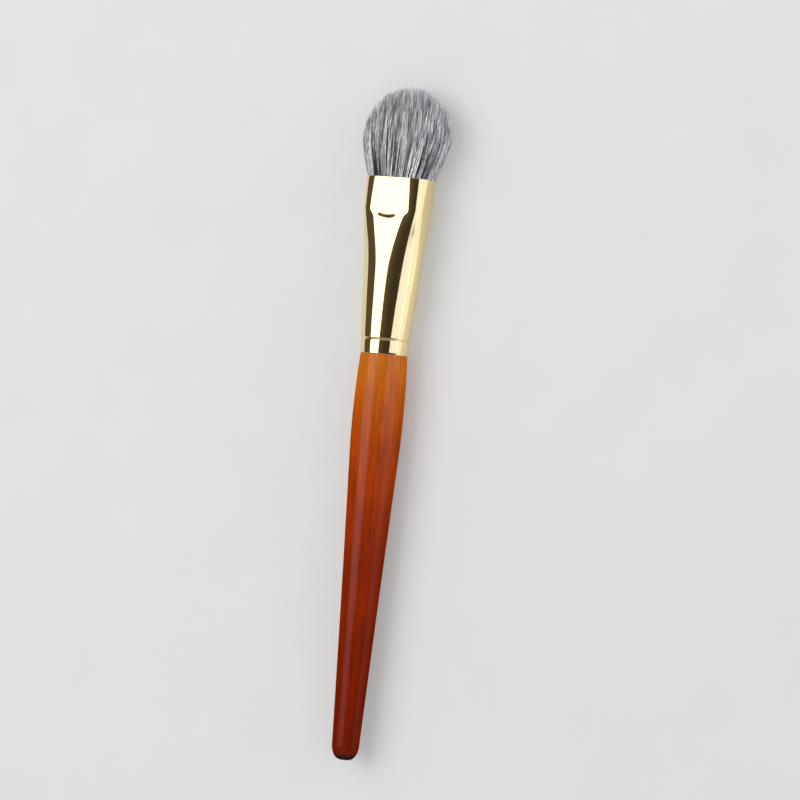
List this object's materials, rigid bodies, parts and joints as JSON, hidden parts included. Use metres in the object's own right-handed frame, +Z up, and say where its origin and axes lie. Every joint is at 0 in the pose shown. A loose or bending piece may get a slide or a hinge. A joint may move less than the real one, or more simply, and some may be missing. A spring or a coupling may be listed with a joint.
{
  "type": "makeup brush",
  "caption": "Highlighter makeup brush: turned lacquered wood handle, gold-plated pressed ferrule and a flat domed tuft of mixed grey and white hair.",
  "frame": {"origin": "on the surface that the brush lies on, under the middle of its bounding box", "axes": "+X along the brush's axis from the butt to the tips of the hair, +Y across its wide side, +Z up through its thin side"},
  "size_m": [0.17, 0.0234, 0.0129],
  "materials": {
    "lacquered_wood": "satin clear lacquer over reddish brown stained wood",
    "clear_glue": "hardened glue",
    "gold_plated_brass": "polished gold plate",
    "glued_hair_root": "hair soaked in hardened glue",
    "cotton_thread": "plain thread",
    "hair": "soft hair, near black and white strands mixed to grey"
  },
  "bodies": {
    "root": {"handle": "lacquered_wood", "handle_glue": "clear_glue", "ferrule": "gold_plated_brass", "root_plug": "glued_hair_root", "binding_thread": "cotton_thread", "hair": "hair"}
  },
  "joints": []
}
